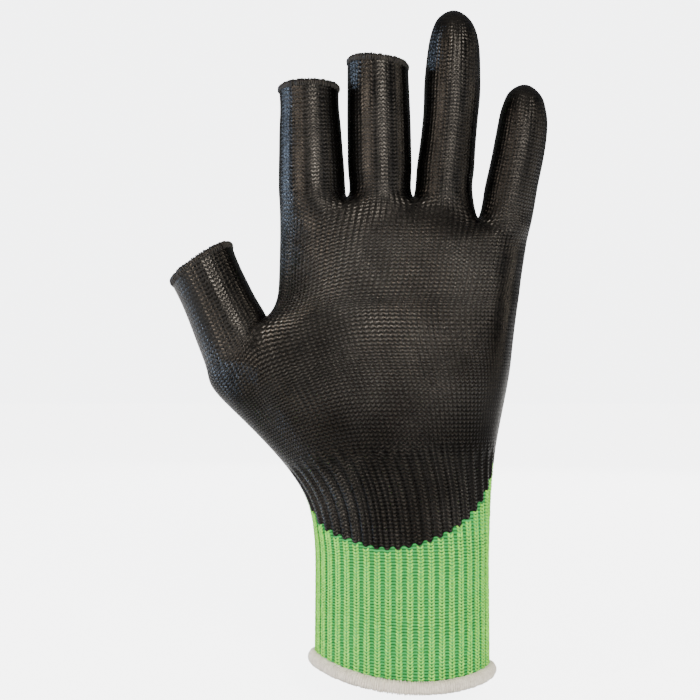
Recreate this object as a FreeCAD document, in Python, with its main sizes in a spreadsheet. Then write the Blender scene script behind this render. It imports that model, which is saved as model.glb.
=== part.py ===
import FreeCAD, Part
import os
import Sketcher

# Cut resistant glove, left hand, size 9, as it stands on a hand.
# +Z runs from the cuff to the fingertips, the palm faces -Y, the little finger is at +X.
# The origin is the centre of the cuff's mouth, level with the foot of the hem.
#
# The glove is one seamless knitted shell with a polyurethane skin over its palm side. It has
# no hinges, so the shell is divided where the hand inside it bends: at the wrist, at the thumb
# and at each row of knuckles. At every bend a wedge-shaped crease of fabric lies on the side
# that folds, and the hinge line runs along the wedge's edge.

GENERAL_SIZES = {
    # alias: (value in mm or degrees, what it is)
    "liner_wall": (1.2, "wall of the knitted liner"),
    "cuff_wall": (2.0, "wall of the rib knit in the cuff"),
    "coat_wall": (0.4, "polyurethane skin outside the knit"),
    "coat_back_edge": (0.36, "how far round a stall the coat wraps, over its radius"),
    "stall_droop": (4.0, "lean of the finger stalls towards the palm side"),
    "fold_depth": (0.62, "a hinge line's distance from the palm side over the radius"),
    "crease_reach": (30.0, "from a hinge line to the far side of its crease wedge"),
    "crease_width": (80.0, "length of a crease wedge along its hinge line"),
    "root_fold": (77.0, "angle that the crease at a finger's root can close"),
    "knuckle_fold": (86.0, "angle that the crease at a middle knuckle can close"),
    "tip_fold": (30.0, "angle that the crease at an end knuckle can close"),
    "thumb_fold": (52.0, "angle that the crease at the thumb's root can close"),
    "wrist_fold": (42.0, "angle that each crease of the wrist can close"),
    "wrist_level": (68.0, "height of the wrist's hinge line"),
    "web_level": (182.6, "height of the web between the fingers"),
    "web_slope": (18.7, "fall of the web towards the little finger"),
    "web_slope_start": (4.0, "where that fall begins"),
    "tongue_radius": (33.5, "radius of the coat's rounded lower edge"),
    "tongue_centre": (-1.8, "middle of the coat's rounded lower edge"),
    "tongue_level": (86.2, "height of the centre of that edge"),
    "elastic_side": (0.6, "side of a laid-in elastic course"),
    "elastic_first": (10.0, "height of the lowest elastic course"),
    "elastic_pitch": (13.0, "from one elastic course to the next"),
    "cuff_foot": (1.2, "height of the liner's lower edge inside the hem"),
    "hem_height": (4.8, "height of the cuff's overlocked hem"),
    "hem_roll": (2.3, "how far the cuff's hem stands out from the cuff"),
    "tip_hem_height": (3.4, "height of an overlocked fingertip hem"),
    "tip_hem_roll": (0.6, "how far a fingertip hem stands out from its stall"),
}

ELASTIC_COURSES = 4
# a closed fingertip: how far up its dome each ring stands, and its share of the full width
DOME = [(0.45, 0.89), (0.78, 0.62), (0.95, 0.31), (1.0, 0.12)]

# the hand tube: height, left side, right side, palm side, back
HAND_SECTIONS = {
    "hem": (0.0, -32.2, 32.2, -22.2, 22.2),
    "ribs_low": (20.0, -32.2, 32.2, -22.2, 22.2),
    "ribs_high": (40.0, -32.2, 32.2, -22.2, 22.2),
    "cuff": (58.0, -32.2, 32.2, -22.2, 22.2),
    "wrist": (71.0, -34.9, 32.6, -22.3, 21.6),
    "heel": (90.0, -48.4, 34.2, -23.5, 20.2),
    "thumb_root": (112.0, -66.0, 38.5, -24.2, 18.4),
    "thumb_ball": (127.0, -59.5, 40.6, -21.4, 17.2),
    "middle_palm": (146.0, -46.0, 43.0, -17.8, 16.0),
    "knuckle": (170.0, -45.0, 46.2, -15.0, 14.0),
}
RIB_SECTIONS = ("hem", "ribs_low", "ribs_high", "cuff")
WEB_SECTION = (-44.9, 48.2, -11.4, 10.4)

# each stall: where its root stands, how it leans and turns, and its width at each height
STALLS = {
    "thumb": {
        "root": (-50.5, -6.5, 107.7),
        "splay": -24.8,
        "droop": 4.0,
        "turn": 40.0,
        "widths": [(-14.0, 18.0), (6.0, 28.2), (20.0, 27.2), (36.0, 24.8), (56.4, 24.3)],
        "folds": [("root", 33.0, "thumb_fold")],
    },
    "index": {
        "root": (-33.1, 0.0, 182.6),
        "splay": -1.7,
        "turn": 0.0,
        "widths": [(-12.0, 23.6), (4.0, 24.2), (27.0, 21.7), (43.6, 21.2)],
        "folds": [("root", 6.0, "root_fold"), ("knuckle", 27.0, "knuckle_fold")],
    },
    "middle": {
        "root": (-8.0, 0.0, 182.6),
        "splay": -1.2,
        "turn": 0.0,
        "widths": [(-12.0, 22.2), (4.0, 22.6), (28.0, 22.7), (52.4, 21.5)],
        "folds": [("root", 7.2, "root_fold"), ("knuckle", 28.0, "knuckle_fold")],
    },
    "ring": {
        "root": (15.2, 0.0, 182.6),
        "splay": 4.0,
        "turn": 0.0,
        "widths": [(-12.0, 20.6), (4.0, 20.6), (36.0, 20.2), (52.6, 19.0)],
        "folds": [("root", 6.0, "root_fold"), ("knuckle", 27.0, "knuckle_fold"),
                  ("tip", 47.0, "tip_fold")],
        "cap": 14.6,
    },
    "little": {
        "root": (38.3, 0.0, 174.8),
        "splay": 9.4,
        "turn": 0.0,
        "widths": [(-12.0, 18.6), (4.0, 18.9), (20.5, 18.7), (36.0, 18.1)],
        "folds": [("root", 5.5, "root_fold"), ("knuckle", 20.5, "knuckle_fold"),
                  ("tip", 34.0, "tip_fold")],
        "cap": 12.4,
    },
}
# the rigid stretches of a stall, from its root crease outwards
STRETCHES = {
    1: ["stall"],
    2: ["lower", "upper"],
    3: ["lower", "upper", "tip"],
}

doc = FreeCAD.newDocument("CutResistantGlove")
sheet = doc.addObject("Spreadsheet::Sheet", "Sizes")
sub_parts = []


def store(alias, value, note):
    """Write one driving dimension into the next row of the sheet."""
    store.row += 1
    sheet.set(f"A{store.row}", note)
    sheet.set(f"B{store.row}", str(value))
    sheet.setAlias(f"B{store.row}", alias)


store.row = 0


def fill_sheet():
    for alias, (value, note) in GENERAL_SIZES.items():
        store(alias, value, note)
    sides = ("level", "left", "right", "palm", "back")
    for name, values in HAND_SECTIONS.items():
        for side, value in zip(sides, values):
            store(f"hand_{name}_{side}", value, f"hand tube at the {name}: {side}")
    for side, value in zip(sides[1:], WEB_SECTION):
        store(f"hand_web_{side}", value, f"hand tube at the web: {side}")
    for stall, spec in STALLS.items():
        for axis, value in zip("xyz", spec["root"]):
            store(f"{stall}_root_{axis}", value, f"{stall} stall's root, {axis}")
        store(f"{stall}_splay", spec["splay"], f"{stall} stall's sideways lean")
        store(f"{stall}_turn", spec["turn"], f"{stall} stall's turn about itself")
        for n, (height, width) in enumerate(spec["widths"]):
            store(f"{stall}_height_{n}n", height, f"{stall} stall: height of section {n}")
            store(f"{stall}_width_{n}n", width, f"{stall} stall: width of section {n}")
        for fold, height, _ in spec["folds"]:
            store(f"{stall}_{fold}_hinge", height, f"{stall} stall: height of its {fold} hinge")
        if "cap" in spec:
            store(f"{stall}_cap", spec["cap"], f"{stall} stall: height of its closed tip")
    doc.recompute()


def add(kind, name, **bound):
    """Add an object whose properties are bound to expressions on the sheet."""
    obj = doc.addObject(kind, name)
    for prop, expression in bound.items():
        obj.setExpression(prop, expression)
    return obj


def seat(obj, x="0", y="0", z="0"):
    """Bind an object's position."""
    for axis, expression in zip("xyz", (x, y, z)):
        obj.setExpression(f".Placement.Base.{axis}", expression)
    return obj


def cut(name, base, tool):
    obj = doc.addObject("Part::Cut", name)
    obj.Base = base
    obj.Tool = tool
    return obj


def common(name, base, tool):
    obj = doc.addObject("Part::Common", name)
    obj.Base = base
    obj.Tool = tool
    return obj


def fuse(name, shapes):
    obj = doc.addObject("Part::MultiFuse", name)
    obj.Shapes = shapes
    return obj


def loft(name, sections, ruled=True):
    obj = doc.addObject("Part::Loft", name)
    obj.Sections = sections
    obj.Solid = True
    obj.Ruled = ruled
    return obj


def block(name, x, y, z):
    """A box between bound limits, each given as a pair of expressions."""
    obj = add("Part::Box", name, Length=f"({x[1]}) - ({x[0]})", Width=f"({y[1]}) - ({y[0]})",
              Height=f"({z[1]}) - ({z[0]})")
    return seat(obj, x[0], y[0], z[0])


def hand_ring(name, section, grow, level=None):
    """An ellipse of the hand tube at one section, moved out by an offset."""
    at = f"Sizes.hand_{section}_"
    ring = add("Part::Ellipse", name,
               MajorRadius=f"({at}right - {at}left) / 2 + ({grow})",
               MinorRadius=f"({at}back - {at}palm) / 2 + ({grow})")
    return seat(ring, f"({at}right + {at}left) / 2", f"({at}back + {at}palm) / 2",
                level or f"{at}level")


def hand_solid(name, grow_cuff, grow_palm, web_drop="0"):
    """The hand tube filled, its skin moved out by one offset in the cuff, one in the palm."""
    rings = []
    for section in HAND_SECTIONS:
        grow = grow_cuff if section in RIB_SECTIONS else grow_palm
        rings.append(hand_ring(f"{name}_{section}_ring", section, grow))
    web = hand_ring(f"{name}_web_ring", "web", grow_palm, f"Sizes.web_level - ({web_drop})")
    filled = loft(f"{name}_tube", rings + [web], ruled=False)
    slope = add("Part::Box", f"{name}_slope", Length="60", Width="80", Height="40")
    slope.setExpression("Placement",
                        "placement(vector(Sizes.web_slope_start; -40; "
                        f"Sizes.web_level - ({web_drop})); rotationy(Sizes.web_slope))")
    return cut(name, filled, slope)


def stall_placement(stall):
    droop = STALLS[stall].get("droop")
    lean = "Sizes.stall_droop" if droop is None else str(droop)
    return (f"placement(vector(Sizes.{stall}_root_x; Sizes.{stall}_root_y; "
            f"Sizes.{stall}_root_z); rotationy(Sizes.{stall}_splay) * rotationx({lean}) * "
            f"rotationz(Sizes.{stall}_turn))")


def place(obj, stall):
    """Move an object from a stall's own frame to its place on the hand."""
    obj.setExpression("Placement", stall_placement(stall))
    return obj


def revolve(name, points):
    """A solid turned about +Z from a sketched profile, its corners bound as (radius, height)."""
    profile = doc.addObject("Sketcher::SketchObject", f"{name}_profile")
    profile.Placement.Rotation = FreeCAD.Rotation(FreeCAD.Vector(1, 0, 0), 90)
    corners = [("0", points[0][1])] + points + [("0", points[-1][1])]
    count = len(corners)
    for n in range(count):
        # rough places, in the right order round the profile, until the bound sizes set them
        here = FreeCAD.Vector(0 if n in (0, count - 1) else 10, n, 0)
        after = FreeCAD.Vector(0 if n in (count - 2, count - 1) else 10, (n + 1) % count, 0)
        profile.addGeometry(Part.LineSegment(here, after), False)
    for n in range(count):
        profile.addConstraint(Sketcher.Constraint("Coincident", n, 2, (n + 1) % count, 1))
    for n, (radius, height) in enumerate(corners):
        if radius == "0":
            profile.addConstraint(Sketcher.Constraint("PointOnObject", n, 1, -2))
        else:
            across = profile.addConstraint(Sketcher.Constraint("DistanceX", -1, 1, n, 1, 10.0))
            profile.setExpression(f"Constraints[{across}]", radius)
        up = profile.addConstraint(Sketcher.Constraint("DistanceY", -1, 1, n, 1, float(n + 1)))
        profile.setExpression(f"Constraints[{up}]", height)
    turned = doc.addObject("Part::Revolution", name)
    turned.Source = profile
    turned.Axis = FreeCAD.Vector(0, 0, 1)
    turned.Solid = True
    return turned


def stall_solid(name, stall, grow):
    """A finger stall filled, standing on its own root, its skin moved out by an offset."""
    spec = STALLS[stall]
    last = len(spec["widths"]) - 1
    points = [(f"Sizes.{stall}_width_{n}n / 2 + ({grow})", f"Sizes.{stall}_height_{n}n")
              for n in range(last + 1)]
    if "cap" in spec:
        for rise, share in DOME:
            points.append((f"(Sizes.{stall}_width_{last}n / 2 + ({grow})) * {share}",
                           f"Sizes.{stall}_height_{last}n + "
                           f"(Sizes.{stall}_cap + ({grow})) * {rise}"))
    return revolve(name, points)


def wedge(name, fold, y, z, flip=False):
    """A crease's wedge: its edge is the hinge line, and it opens towards -Y, or +Y if flipped."""
    half = f"Sizes.crease_reach * tan(Sizes.{fold} / 2)"
    obj = add("Part::Wedge", name, Xmin="-Sizes.crease_width / 2",
              Xmax="Sizes.crease_width / 2", X2min="-Sizes.crease_width / 2",
              X2max="Sizes.crease_width / 2", Ymin="-Sizes.crease_reach", Ymax="0",
              Zmin=f"-{half}", Zmax=half, Z2min="0", Z2max="0")
    turn = 180 if flip else 0
    obj.setExpression("Placement", f"placement(vector(0; {y}; {z}); rotationz({turn}))")
    return obj


def hinge_depth(stall):
    """How far in front of a stall's middle its hinge lines lie."""
    return f"-Sizes.{stall}_width_2n / 2 * (1 - Sizes.fold_depth)"


def keep(obj, label):
    """Name a finished sub-part."""
    obj.Label = label
    sub_parts.append(obj)
    return obj


def tip_hem(stall, edge):
    """The overlocked roll round an open fingertip, wrapped over the shell's cut edge."""
    last = len(STALLS[stall]["widths"]) - 1
    radius = f"Sizes.{stall}_width_{last}n / 2"
    top = f"Sizes.{stall}_height_{last}n"
    rise = "Sizes.tip_hem_height"
    heights = [f"{top} - {rise}", f"{top} - {rise} * 0.75", f"{top} - {rise} * 0.15",
               f"{top} + 0.5"]
    rolls = ["0.1", "Sizes.tip_hem_roll", "Sizes.tip_hem_roll", "-0.2"]
    turns = ["-0.05", "-0.5", "-0.5", "0.1"]
    outside = revolve(f"{stall}_hem_outside",
                      [(f"{radius} + {roll}", z) for roll, z in zip(rolls, heights)])
    inside = revolve(f"{stall}_hem_inside",
                     [(f"{radius} - Sizes.liner_wall + {turn}", z)
                      for turn, z in zip(turns, heights)])
    return cut(f"{stall}_hem_wrap", cut(f"{stall}_hem_roll", outside, inside), edge)


def make_stall(stall):
    """One finger or thumb: its stretches of liner and coat, its creases and its hem.

    Gives back what the palm needs: the filled stump of liner and of coat below the root
    crease, and the bore."""
    spec = STALLS[stall]
    liner_full = stall_solid(f"{stall}_full", stall, "0")
    bore = stall_solid(f"{stall}_bore", stall, "-Sizes.liner_wall")
    coat_full = stall_solid(f"{stall}_coat_full", stall, "Sizes.coat_wall")
    last = len(spec["widths"]) - 1
    wrap = f"Sizes.{stall}_width_2n / 2 * Sizes.coat_back_edge"
    front = block(f"{stall}_front", ("-20", "20"), ("-20", wrap), ("-20", "80"))
    if "cap" in spec:
        tip = block(f"{stall}_tip_zone", ("-20", "20"), ("-20", "20"),
                    (f"Sizes.{stall}_height_{last}n", "80"))
        front = fuse(f"{stall}_coated_zone", [front, tip])
    liner = cut(f"{stall}_tube", liner_full, bore)
    coat = cut(f"{stall}_skin", coat_full, liner_full)

    def divide(name, zone):
        """Cut one zone's share out of the liner and, on the coated side, out of the coat."""
        keep(place(common(f"{name}_liner", liner, zone), stall), f"{name}_liner")
        coat_zone = common(f"{name}_coat_zone", zone, front)
        keep(place(common(f"{name}_coat", coat, coat_zone), stall), f"{name}_coat")

    creases = []
    for fold, _, angle in spec["folds"]:
        creases.append(wedge(f"{stall}_{fold}_wedge", angle, hinge_depth(stall),
                             f"Sizes.{stall}_{fold}_hinge"))
        divide(f"{stall}_{fold}_crease", creases[-1])

    levels = [f"Sizes.{stall}_{fold}_hinge" for fold, _, _ in spec["folds"]] + ["80"]
    for n, stretch in enumerate(STRETCHES[len(creases)]):
        zone = block(f"{stall}_{stretch}_slab", ("-20", "20"), ("-20", "20"),
                     (levels[n], levels[n + 1]))
        for side, crease in enumerate(creases[n:n + 2]):
            zone = cut(f"{stall}_{stretch}_zone_{side}", zone, crease)
        divide(f"{stall}_{stretch}", zone)
    if "cap" not in spec:
        edge = cut(f"{stall}_edge", coat_full, bore)
        keep(place(tip_hem(stall, edge), stall), f"{stall}_hem")

    slab = block(f"{stall}_stump_slab", ("-20", "20"), ("-20", "20"), ("-14", levels[0]))
    stump_zone = cut(f"{stall}_stump_zone", slab, creases[0])
    way = block(f"{stall}_way_slab", ("-20", "20"), ("-20", "20"), ("-14", "40"))
    return (place(common(f"{stall}_stump", liner_full, stump_zone), stall),
            place(common(f"{stall}_coat_stump", coat_full, stump_zone), stall),
            place(common(f"{stall}_way", bore, way), stall))


def make_hand(stumps):
    """The cuff and the palm, with their coat, the creases of the wrist and the hem."""
    filled = hand_solid("hand_full", "0", "0")
    hollow = hand_solid("hand_hollow", "-Sizes.cuff_wall", "-Sizes.liner_wall",
                        "Sizes.liner_wall")
    coated = hand_solid("hand_coated", "Sizes.coat_wall", "Sizes.coat_wall",
                        "-Sizes.coat_wall")
    outside = fuse("hand_outside", [filled] + [s[0] for s in stumps])
    inside = fuse("hand_inside", [hollow] + [s[2] for s in stumps])
    coat_outside = fuse("hand_coat_outside", [coated] + [s[1] for s in stumps])
    shell = cut("hand_shell", outside, inside)

    front = wedge("wrist_front_wedge", "wrist_fold", "0", "Sizes.wrist_level")
    back = wedge("wrist_back_wedge", "wrist_fold", "0", "Sizes.wrist_level", flip=True)
    wedges = fuse("wrist_wedges", [front, back])
    below = cut("cuff_zone", block("below_wrist", ("-90", "90"), ("-50", "50"),
                                   ("Sizes.cuff_foot", "Sizes.wrist_level")), wedges)
    above = cut("palm_zone", block("above_wrist", ("-110", "90"), ("-50", "50"),
                                   ("Sizes.wrist_level", "260")), wedges)

    disc = add("Part::Cylinder", "tongue_disc", Radius="Sizes.tongue_radius", Height="60")
    disc.setExpression("Placement", "placement(vector(Sizes.tongue_centre; 10; "
                       "Sizes.tongue_level); rotationx(90))")
    upper = block("coat_upper", ("-110", "90"), ("-50", "4"), ("Sizes.tongue_level", "260"))
    tongue = common("tongue_front", disc, block("palm_side", ("-90", "90"), ("-50", "4"),
                                               ("40", "Sizes.tongue_level")))
    coat_zone = fuse("coat_zone", [tongue, upper])

    def skin(name, zone):
        """The coat's share of one zone: the coated solid there, less the knit inside it."""
        patch = common(f"{name}_patch", coat_outside, common(f"{name}_zone", coat_zone, zone))
        return keep(cut(name, patch, outside), name)

    elastic = keep(make_elastic(), "cuff_elastic")
    cuff = cut("cuff_liner", common("cuff_tube", shell, below), elastic)
    keep(cuff, "cuff_liner")
    skin("cuff_coat", below)
    keep(common("wrist_front_crease_liner", shell, front), "wrist_front_crease_liner")
    skin("wrist_front_crease_coat", front)
    keep(common("wrist_back_crease_liner", shell, back), "wrist_back_crease_liner")
    keep(common("palm_liner", shell, above), "palm_liner")
    skin("palm_coat", above)
    keep(make_cuff_hem(shell), "cuff_hem")


def make_elastic():
    """Elastic yarn laid into the rib knit in courses, seen on the cuff's inner face."""
    courses = []
    for n in range(ELASTIC_COURSES):
        level = f"Sizes.elastic_first + {n} * Sizes.elastic_pitch"
        rings = []
        for side, grow in (("out", "-Sizes.cuff_wall + Sizes.elastic_side"),
                           ("in", "-Sizes.cuff_wall")):
            line = hand_ring(f"elastic_{n}_{side}_line", "cuff", grow, level)
            body = doc.addObject("Part::Extrusion", f"elastic_{n}_{side}")
            body.Base = line
            body.DirMode = "Custom"
            body.Dir = FreeCAD.Vector(0, 0, 1)
            body.setExpression("LengthFwd", "Sizes.elastic_side")
            body.Solid = True
            rings.append(body)
        courses.append(cut(f"elastic_{n}", *rings))
    return fuse("cuff_elastic", courses)


def make_cuff_hem(shell):
    """The white overlocked roll that wraps the cuff's lower edge."""
    heights = ["0", "0.22 * Sizes.hem_height", "0.72 * Sizes.hem_height", "Sizes.hem_height"]
    rolls = ["0.4 * Sizes.hem_roll", "Sizes.hem_roll", "Sizes.hem_roll", "0.15 * Sizes.hem_roll"]
    inner = ["-Sizes.cuff_wall - 0.2", "-Sizes.cuff_wall - 0.8", "-Sizes.cuff_wall - 0.8",
             "-Sizes.cuff_wall - 0.1"]
    outside = loft("cuff_hem_outside", [hand_ring(f"cuff_hem_out_{n}", "cuff", rolls[n],
                                                  heights[n]) for n in range(4)])
    inside = loft("cuff_hem_inside", [hand_ring(f"cuff_hem_in_{n}", "cuff", inner[n],
                                                heights[n]) for n in range(4)])
    roll = cut("cuff_hem_roll", outside, inside)
    wrapped = common("cuff_hem_wrapped", shell, block("hem_zone", ("-90", "90"), ("-50", "50"),
                                                      ("Sizes.cuff_foot", "20")))
    return cut("cuff_hem", roll, wrapped)


def check():
    """Stop if any object failed or any sub-part isn't a valid solid."""
    for obj in doc.Objects:
        if "Invalid" in obj.State or "Error" in obj.State:
            raise RuntimeError(f"{obj.Name} failed: {obj.State}")
    for obj in sub_parts:
        shape = obj.Shape
        if shape.isNull() or not shape.isValid() or not shape.Solids:
            raise RuntimeError(f"{obj.Label} isn't a valid solid")


def export():
    os.makedirs("parts", exist_ok=True)
    for obj in sub_parts:
        obj.Shape.exportStep(f"parts/{obj.Label}.step")
    print(len(sub_parts), "sub-parts")


fill_sheet()
make_hand([make_stall(stall) for stall in STALLS])
doc.recompute()
check()
export()
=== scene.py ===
import math
import bpy
import numpy as np
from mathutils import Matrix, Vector


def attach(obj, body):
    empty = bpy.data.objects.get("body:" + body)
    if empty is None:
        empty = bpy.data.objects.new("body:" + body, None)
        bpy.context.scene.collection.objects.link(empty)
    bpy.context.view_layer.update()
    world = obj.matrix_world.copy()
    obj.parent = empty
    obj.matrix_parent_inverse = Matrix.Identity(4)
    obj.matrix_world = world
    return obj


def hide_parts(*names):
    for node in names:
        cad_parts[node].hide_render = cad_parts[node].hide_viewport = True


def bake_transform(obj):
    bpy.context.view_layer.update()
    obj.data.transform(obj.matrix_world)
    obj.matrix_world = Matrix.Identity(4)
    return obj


# Cut resistant glove for the left hand: a knitted liner, a polyurethane skin on its palm side,
# a rib cuff with a white overlocked hem, and three cut fingertips that are overlocked too.
# The palm faces -Y, the fingers point up and the thumb is at -X. Lists are in millimetres.

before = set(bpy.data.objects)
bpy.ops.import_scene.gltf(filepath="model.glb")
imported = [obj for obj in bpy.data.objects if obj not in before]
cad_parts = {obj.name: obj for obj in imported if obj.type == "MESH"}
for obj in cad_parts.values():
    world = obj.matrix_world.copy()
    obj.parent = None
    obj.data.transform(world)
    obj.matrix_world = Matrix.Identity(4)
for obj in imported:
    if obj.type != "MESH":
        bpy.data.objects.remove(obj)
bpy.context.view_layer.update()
mm = 0.001
lowColumns, highColumns = 24, 20  # columns of the hand's cage below and above the thumb


# small helpers

def linear(hexColour):  # sRGB hex to the linear values that sockets take
    parts = [int(hexColour[i:i + 2], 16) / 255 for i in (1, 3, 5)]
    return [p / 12.92 if p < 0.04045 else ((p + 0.055) / 1.055) ** 2.4 for p in parts] + [1.0]


def addNode(tree, kind, inputs=(), **settings):  # inputs in order or by name, a node for its first output
    node = tree.nodes.new(kind)
    for name, value in settings.items():
        setattr(node, name, value)
    for key, value in inputs.items() if isinstance(inputs, dict) else enumerate(inputs):
        if isinstance(value, bpy.types.Node):
            value = value.outputs[0]
        if isinstance(value, bpy.types.NodeSocket):
            tree.links.new(value, node.inputs[key])
        else:
            node.inputs[key].default_value = value
    return node


def ease(low, high, value):  # 0 below low, 1 above high, smooth between
    t = np.clip((np.asarray(value, float) - low) / (high - low), 0, 1)
    return t * t * (3 - 2 * t)


def between(marks, values):  # the mark below each value, and the share of the way to the next one
    n = np.clip(np.searchsorted(marks, values, side="right") - 1, 0, len(marks) - 2)
    return n, (values - marks[n]) / (marks[n + 1] - marks[n])


def through(table, x):  # smooth curve through a table of (x, y)
    xs, ys = np.array(table, float).T
    slopes = np.gradient(ys, xs)
    n, t = between(xs, np.clip(x, xs[0], xs[-1]))
    width = xs[n + 1] - xs[n]
    return (ys[n] * (1 + 2 * t) * (1 - t) ** 2 + ys[n + 1] * t * t * (3 - 2 * t)
            + width * (slopes[n] * t * (1 - t) ** 2 - slopes[n + 1] * t * t * (1 - t)))


def lengthsRound(path):  # along a closed loop, from its first point to each one and back
    return np.concatenate([[0], np.cumsum(np.linalg.norm(np.roll(path, -1, 0) - path, axis=1))])


def unit(vectors):
    return vectors / np.maximum(np.linalg.norm(vectors, axis=-1, keepdims=True), 1e-9)


def addObject(name, data, material=None):
    added = bpy.data.objects.new(name, data)
    bpy.context.scene.collection.objects.link(added)
    if material:
        data.materials.clear()
        data.materials.append(material)
    return added


def addMesh(name, corners, faces):  # corners in millimetres
    mesh = bpy.data.meshes.new(name)
    mesh.from_pydata(np.array(corners) * mm, [], faces)
    return mesh


def bake(piece):  # the evaluated mesh, without the modifiers
    bpy.context.view_layer.update()
    evaluated = piece.evaluated_get(bpy.context.evaluated_depsgraph_get())
    return bpy.data.meshes.new_from_object(evaluated)


# the hand's form: rows of stitches from the cuff's mouth up to the webs between the fingers

hand = {
    "courseHeight": 1.33,  # from one row of stitches to the next
    "walesPerColumn": 6,  # columns of stitches in one column of the cage
    "wall": 1.2,
    # left edge x and z, right edge x and z, the left edge's depth, squareness, spread of columns
    "lowRows": [
        (-31.9, 0, 31.9, 0, 0, 2, 0),
        (-31.8, 18, 31.8, 18, 0, 2, 0),
        (-31.7, 36, 31.7, 36, 0, 2, 0),
        (-31.9, 54, 31.8, 55, 0, 2, 0),
        (-34.6, 70.5, 32.6, 75, -0.5, 2.05, 0.1),
        (-43.9, 85.5, 34.6, 93, -2, 2.2, 0.35),
        (-56.1, 98.8, 38.6, 114, -4, 2.5, 0.65),
        (-63.2, 106, 40.3, 127, -6, 2.7, 0.85),
        (-69.4, 112.6, 41.9, 140, -8, 2.8, 1),
    ],
    # below the thumb: column, depth and how much higher its stitches climb
    "thumbSide": [(1, -17, 0), (2, -21, 0.5), (3, -22.8, 1.4), (21, 13, 1.4), (22, 9, 0.5), (23, 4, 0)],
    "highRows": [
        (-46.1, 143.5, 42.8, 146, -5, 2.4),
        (-45, 151, 43.6, 152.5, -2.5, 2.3),
        (-44.8, 161, 44.7, 160, -1, 2.3),
        (-44.7, 170.5, 45.8, 166.5, 0, 2.3),
    ],
    "front": [(0, -22.2), (58, -22.2), (71, -22.3), (90, -23.5), (112, -24), (127, -21.8),
              (146, -17.8), (170, -14.6), (180, -12)],
    "back": [(0, 22.2), (58, 22.2), (71, 21.6), (90, 20.2), (112, 18.4), (127, 17.2),
             (146, 16), (170, 13.6), (180, 11.5)],
    "lowSpread": [0, .03, .095, .16, .327, .439, .552, .66, .76, .865, .933, .978, 1],
    # the row at the finger roots: x, half depth and height
    "webRow": [(-44.9, 0, 180), (-41.5, 8.4, 179), (-33.1, 11.9, 179), (-20.6, 9.4, 179.5),
               (-8, 11.4, 179), (4.1, 8.9, 179.5), (15.2, 10.5, 177.5), (26.9, 8.2, 172.5),
               (38.3, 9.6, 172), (44.8, 6.8, 171), (46.8, 0, 171)],
    "hollow": 2.6,  # how far the middle of the palm is sunk
    "droop": 4,  # how many degrees the stalls lean towards the palm
    "moreLow": [0, 0, 0, 0, 0, 0, 1.5, 3, 4],  # further stitches of each row beside the thumb's base
    "moreHigh": [3, 2, 1.5, 1, 0],
    "crotches": [(-20.5, 182.4), (4.15, 182.4), (27.6, 174.9)],
    "webHeight": 179.5,
    "rootHeight": 3.6,  # from the webs to the roots of the stalls
}

# each stall: its root, splay, rings of (height along it, width, sideways, arch, slope), the rings at which
# its folds begin, with its last ring, and the height at which its last fold ends
stalls = {
    "index": {
        "root": (-33.1, 0, 182.6), "splay": -1.7,
        "rings": [(2.5, 24), (9.5, 23.6), (16.5, 22.9), (24, 22.2),
                  (29.5, 21.4), (34.3, 21, 0, 0.8), (39.2, 21.3, 0, 1.7, -0.2)],
        "folds": (0, 2, 6), "lastFold": 34.3,
    },
    "middle": {
        "root": (-8, 0, 182.6), "splay": -1.2,
        "rings": [(2.5, 22.2), (9.5, 22.8), (17, 22.9), (25, 22.8),
                  (32.5, 22.5), (40, 22.1, 0, 0.8, -0.3), (48, 21.7, 0, 1.8, -1.3)],
        "folds": (0, 2, 6), "lastFold": 37.5,
    },
    "ring": {
        "root": (15.2, 0, 182.6), "splay": 4,
        "rings": [(2.5, 20.6), (9.5, 20.5), (17, 20, .2), (25, 19.6, .4),
                  (32, 19.7, .5), (38, 20.1, .4), (44, 19.8, .2), (51, 18.9),
                  (57, 17.4, -.2), (62, 14.4, -.5), (65.4, 9.6, -.8)],
        "tip": (67.7, -.9), "folds": (0, 2, 5, 11), "lastFold": 57,
    },
    "little": {
        "root": (38.3, 0, 174.8), "splay": 9.4,
        "rings": [(2.5, 18.6), (8.5, 18.6), (14, 18.4, .1), (20.7, 18.3, .4),
                  (27.5, 18.2, .5), (33, 17.8, .4), (38, 16.8, .1), (42.5, 14.4, -.3),
                  (46, 10.6, -.6)],
        "tip": (49, -.9), "folds": (0, 2, 4, 9), "lastFold": 40.5,
    },
}
thumb = {
    "root": (-50.5, -6.5, 107.7), "splay": -24.8,
    # height, slope, outer half width, inner half width, half depth, arch
    "rings": [(19.8, 7.2, 14.7, 14.4, 12.4), (24.3, 5.2, 13.8, 13.3, 12.4), (31.2, 3.7, 13, 12.8, 12.3),
              (38.8, 2.7, 12.3, 12.5, 12.2), (46.8, 2.2, 11.9, 12.4, 12.1, 1),
              (54.3, 2, 12.1, 12.9, 12.3, 2.2)],
    "bend": (27.2, 41),
}
foldNames = ("Root", "Knuckle", "Tip")


def stallAxes(spec):
    splay, droop = math.radians(spec["splay"]), math.radians(hand["droop"])
    side = np.array([math.cos(splay), 0, -math.sin(splay)])
    up = np.array([math.sin(splay) * math.cos(droop), -math.sin(droop), math.cos(splay) * math.cos(droop)])
    return np.array(spec["root"], float), side, np.cross(up, side), up


# the eight points of a stall's ring, from the left by the palm side, as shares across and out
eighths = [(math.cos(math.pi + n * math.pi / 4), math.sin(math.pi + n * math.pi / 4)) for n in range(8)]


def stallRing(spec, height, slope, outer, inner, depth, arch=0, sideways=0):
    root, side, back, up = stallAxes(spec)
    return [root + up * (height + slope * across - arch * out)
            + side * (sideways + (inner if across > 0 else outer) * across)
            + back * depth * out for across, out in eighths]


def roundRing(spec, height, width, sideways=0, arch=0, slope=0):
    return stallRing(spec, height, slope, width / 2, width / 2, width / 2, arch, sideways)


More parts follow.
